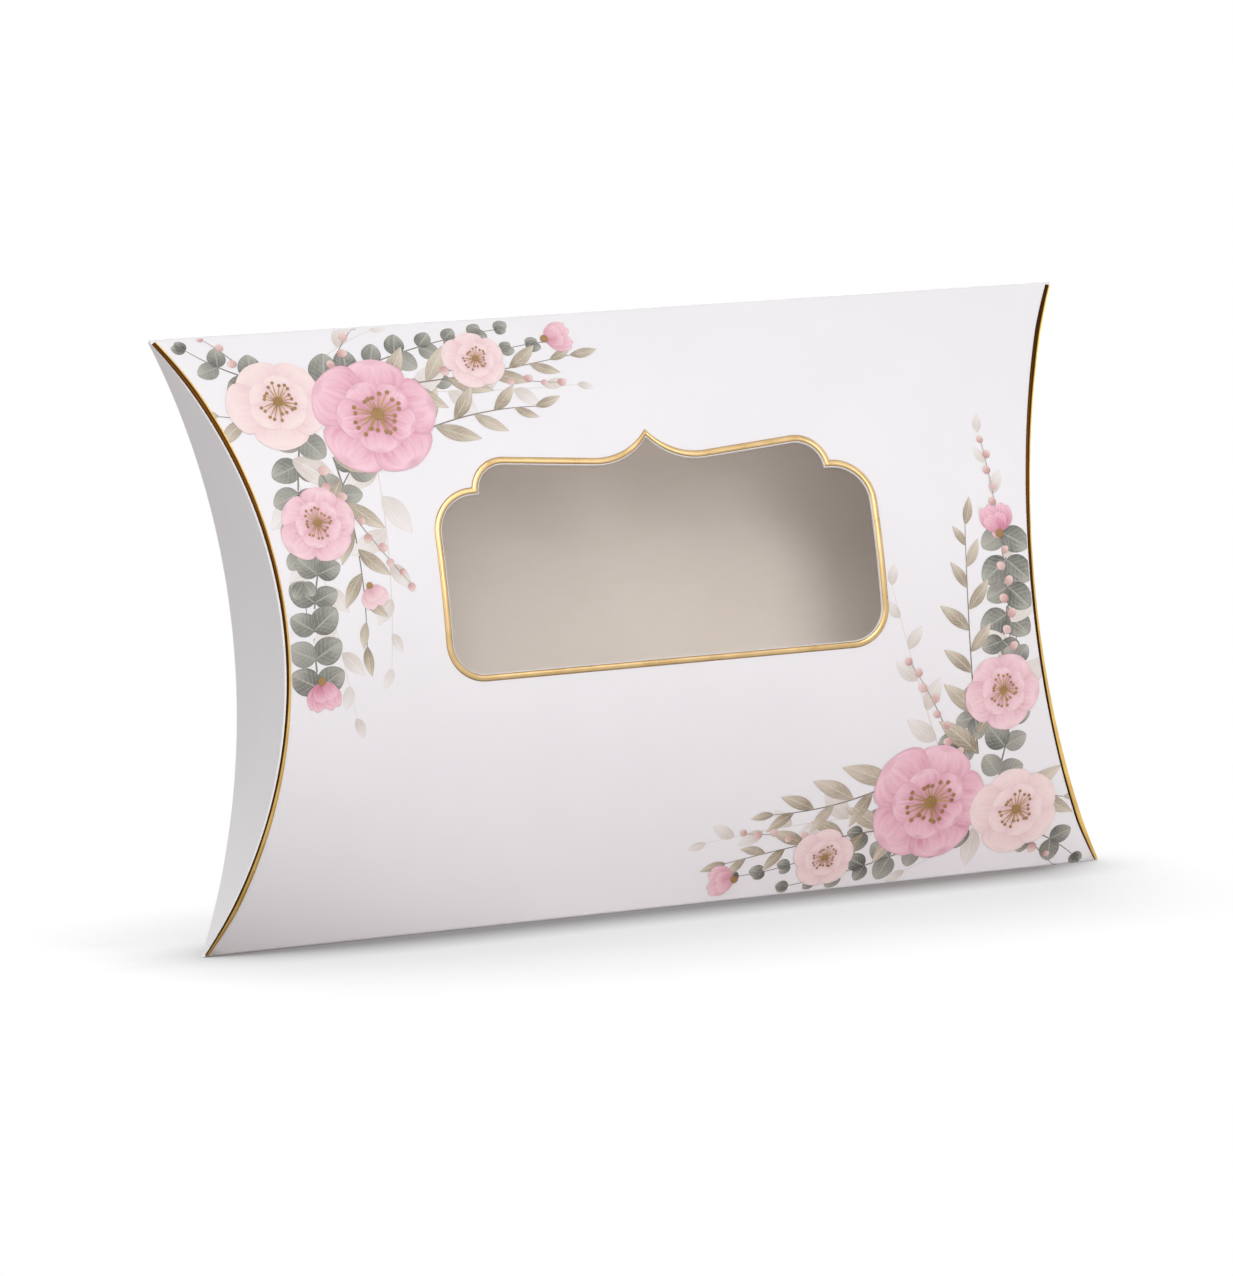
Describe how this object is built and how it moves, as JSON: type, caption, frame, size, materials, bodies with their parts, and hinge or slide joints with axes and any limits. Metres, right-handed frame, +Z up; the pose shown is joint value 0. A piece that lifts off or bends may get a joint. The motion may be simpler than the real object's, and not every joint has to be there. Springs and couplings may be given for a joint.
{
  "type": "pillow box",
  "caption": "White paperboard pillow box with bowed panels, curved tuck flaps at both ends, a shaped film window and raised gold foil lines.",
  "frame": {"origin": "under the middle of the box, on the surface that its lower long edge touches", "axes": "+X along the box, +Z up the panels, the windowed front panel faces -Y"},
  "size_m": [0.1642, 0.0302, 0.102],
  "materials": {
    "coated_board": "satin",
    "gold_foil": "polished metallic foil",
    "clear_film": "gloss",
    "dried_glue": "matte"
  },
  "bodies": {
    "carton": {"front_panel": "coated_board", "back_panel": "coated_board", "top_fold": "coated_board", "bottom_fold": "coated_board", "glue_flap": "coated_board", "seam_adhesive": "dried_glue", "window_film": "clear_film", "film_adhesive": "dried_glue", "window_foil_border": "gold_foil", "left_crease_foil": "gold_foil", "right_crease_foil": "gold_foil"},
    "left_outer_flap": {"left_outer_flap": "coated_board"},
    "right_outer_flap": {"right_outer_flap": "coated_board"},
    "left_inner_flap": {"left_inner_flap": "coated_board"},
    "right_inner_flap": {"right_inner_flap": "coated_board"}
  },
  "joints": [
    {"name": "left_outer_fold", "type": "hinge", "parent": "carton", "child": "left_outer_flap", "pos_m": [-0.0675, -0.015, 0.05067], "axis": [0, 0, 1], "range_deg": [0, 120]},
    {"name": "left_inner_fold", "type": "hinge", "parent": "carton", "child": "left_inner_flap", "pos_m": [-0.0667, 0.015, 0.05067], "axis": [0, 0, -1], "range_deg": [0, 72]},
    {"name": "right_outer_fold", "type": "hinge", "parent": "carton", "child": "right_outer_flap", "pos_m": [0.0675, -0.015, 0.05067], "axis": [0, 0, -1], "range_deg": [0, 120]},
    {"name": "right_inner_fold", "type": "hinge", "parent": "carton", "child": "right_inner_flap", "pos_m": [0.0667, 0.015, 0.05067], "axis": [0, 0, 1], "range_deg": [0, 72]}
  ],
  "couplings": [
    {"joint": "left_inner_fold", "follows": "left_outer_fold", "ratio": 0.6},
    {"joint": "right_inner_fold", "follows": "right_outer_fold", "ratio": 0.6}
  ]
}
